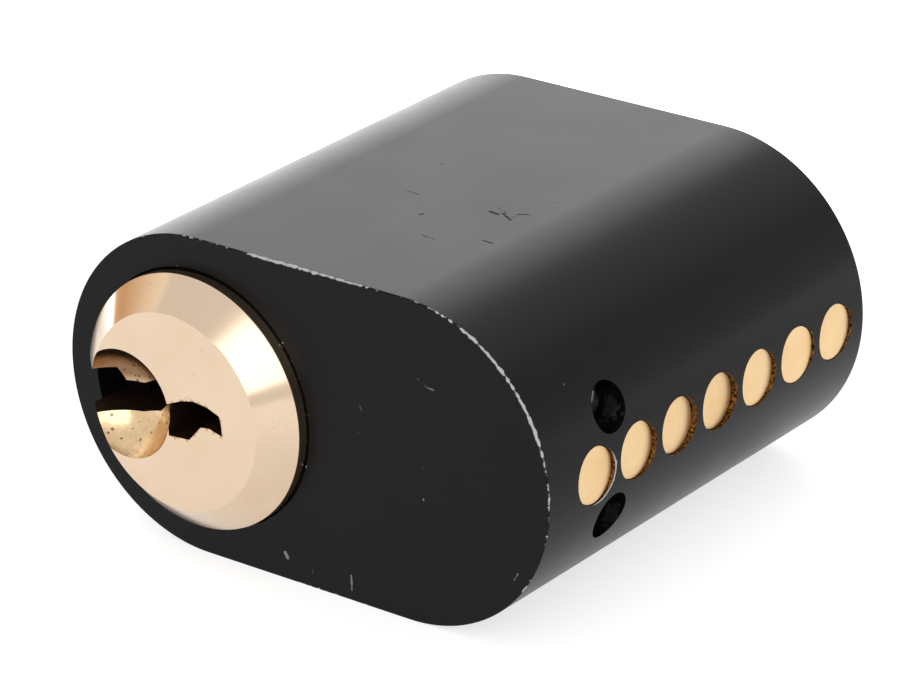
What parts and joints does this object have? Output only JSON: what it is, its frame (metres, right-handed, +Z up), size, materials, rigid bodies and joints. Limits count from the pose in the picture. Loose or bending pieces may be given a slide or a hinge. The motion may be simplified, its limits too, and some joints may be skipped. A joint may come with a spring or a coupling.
{
  "type": "oval lock cylinder",
  "caption": "Oval pin-tumbler lock cylinder: black oval housing, stepped brass plug with a scooped keyway, and a row of brass plugs closing its pin chambers.",
  "frame": {"origin": "where the plug's axis meets the housing's front face", "axes": "+X from the plug's axis towards the pin chambers, along the oval's long axis; +Y into the housing from front to back, along the plug's axis; +Z up across the oval's flats"},
  "size_m": [0.0427, 0.06, 0.0244],
  "materials": {
    "black_coating": "satin black coating over brass",
    "plug_brass": "turned, fine lathe lines",
    "pin_brass": "turned",
    "nickel_silver": "turned",
    "spring_steel": "drawn wire",
    "cap_brass": "sheared and pressed, matt",
    "hardened_steel": "hardened, dark",
    "washer_brass": "stamped",
    "ring_steel": "stamped spring steel, phosphated",
    "zinc_steel": "zinc plated"
  },
  "bodies": {
    "housing": {"housing": "black_coating", "chamber_plug_1": "cap_brass", "chamber_plug_2": "cap_brass", "chamber_plug_3": "cap_brass", "chamber_plug_4": "cap_brass", "chamber_plug_5": "cap_brass", "chamber_plug_6": "cap_brass", "chamber_plug_7": "cap_brass", "anti_drill_pin_upper": "hardened_steel", "anti_drill_pin_lower": "hardened_steel", "spring_1": "spring_steel", "spring_2": "spring_steel", "spring_3": "spring_steel", "spring_4": "spring_steel", "spring_5": "spring_steel", "spring_6": "spring_steel", "spring_7": "spring_steel"},
    "plug": {"plug": "plug_brass", "thrust_washer": "washer_brass", "retaining_ring": "ring_steel", "tailpiece": "zinc_steel", "tailpiece_pin": "hardened_steel"},
    "driver_1": {"driver_pin_1": "nickel_silver"},
    "key_pin_1": {"key_pin_1": "pin_brass"},
    "driver_2": {"driver_pin_2": "nickel_silver"},
    "key_pin_2": {"key_pin_2": "pin_brass"},
    "driver_3": {"driver_pin_3": "nickel_silver"},
    "key_pin_3": {"key_pin_3": "pin_brass"},
    "driver_4": {"driver_pin_4": "nickel_silver"},
    "key_pin_4": {"key_pin_4": "pin_brass"},
    "driver_5": {"driver_pin_5": "nickel_silver"},
    "key_pin_5": {"key_pin_5": "pin_brass"},
    "driver_6": {"driver_pin_6": "nickel_silver"},
    "key_pin_6": {"key_pin_6": "pin_brass"},
    "driver_7": {"driver_pin_7": "nickel_silver"},
    "key_pin_7": {"key_pin_7": "pin_brass"}
  },
  "joints": [
    {"name": "plug_turn", "type": "hinge", "parent": "housing", "child": "plug", "pos_m": [0, 0, 0], "axis": [0, 1, 0], "range_deg": [0, 270]},
    {"name": "driver_slide_1", "type": "slide", "parent": "housing", "child": "driver_1", "axis": [1, 0, 0], "range_m": [-0.002, 0], "stiffness_N_per_m": 60, "springref_m": -0.006, "deforming": ["spring_1"]},
    {"name": "key_pin_slide_1", "type": "slide", "parent": "plug", "child": "key_pin_1", "axis": [1, 0, 0], "range_m": [-0.002, 0]},
    {"name": "driver_slide_2", "type": "slide", "parent": "housing", "child": "driver_2", "axis": [1, 0, 0], "range_m": [-0.001, 0], "stiffness_N_per_m": 60, "springref_m": -0.006, "deforming": ["spring_2"]},
    {"name": "key_pin_slide_2", "type": "slide", "parent": "plug", "child": "key_pin_2", "axis": [1, 0, 0], "range_m": [-0.001, 0]},
    {"name": "driver_slide_3", "type": "slide", "parent": "housing", "child": "driver_3", "axis": [1, 0, 0], "range_m": [-0.0025, 0], "stiffness_N_per_m": 60, "springref_m": -0.006, "deforming": ["spring_3"]},
    {"name": "key_pin_slide_3", "type": "slide", "parent": "plug", "child": "key_pin_3", "axis": [1, 0, 0], "range_m": [-0.0025, 0]},
    {"name": "driver_slide_4", "type": "slide", "parent": "housing", "child": "driver_4", "axis": [1, 0, 0], "range_m": [-0.0005, 0], "stiffness_N_per_m": 60, "springref_m": -0.006, "deforming": ["spring_4"]},
    {"name": "key_pin_slide_4", "type": "slide", "parent": "plug", "child": "key_pin_4", "axis": [1, 0, 0], "range_m": [-0.0005, 0]},
    {"name": "driver_slide_5", "type": "slide", "parent": "housing", "child": "driver_5", "axis": [1, 0, 0], "range_m": [-0.0015, 0], "stiffness_N_per_m": 60, "springref_m": -0.006, "deforming": ["spring_5"]},
    {"name": "key_pin_slide_5", "type": "slide", "parent": "plug", "child": "key_pin_5", "axis": [1, 0, 0], "range_m": [-0.0015, 0]},
    {"name": "driver_slide_6", "type": "slide", "parent": "housing", "child": "driver_6", "axis": [1, 0, 0], "range_m": [-0.001, 0], "stiffness_N_per_m": 60, "springref_m": -0.006, "deforming": ["spring_6"]},
    {"name": "key_pin_slide_6", "type": "slide", "parent": "plug", "child": "key_pin_6", "axis": [1, 0, 0], "range_m": [-0.001, 0]},
    {"name": "driver_slide_7", "type": "slide", "parent": "housing", "child": "driver_7", "axis": [1, 0, 0], "range_m": [-0.002, 0], "stiffness_N_per_m": 60, "springref_m": -0.006, "deforming": ["spring_7"]},
    {"name": "key_pin_slide_7", "type": "slide", "parent": "plug", "child": "key_pin_7", "axis": [1, 0, 0], "range_m": [-0.002, 0]}
  ],
  "couplings": [
    {"joint": "key_pin_slide_1", "follows": "driver_slide_1", "ratio": 1},
    {"joint": "key_pin_slide_2", "follows": "driver_slide_2", "ratio": 1},
    {"joint": "key_pin_slide_3", "follows": "driver_slide_3", "ratio": 1},
    {"joint": "key_pin_slide_4", "follows": "driver_slide_4", "ratio": 1},
    {"joint": "key_pin_slide_5", "follows": "driver_slide_5", "ratio": 1},
    {"joint": "key_pin_slide_6", "follows": "driver_slide_6", "ratio": 1},
    {"joint": "key_pin_slide_7", "follows": "driver_slide_7", "ratio": 1}
  ]
}
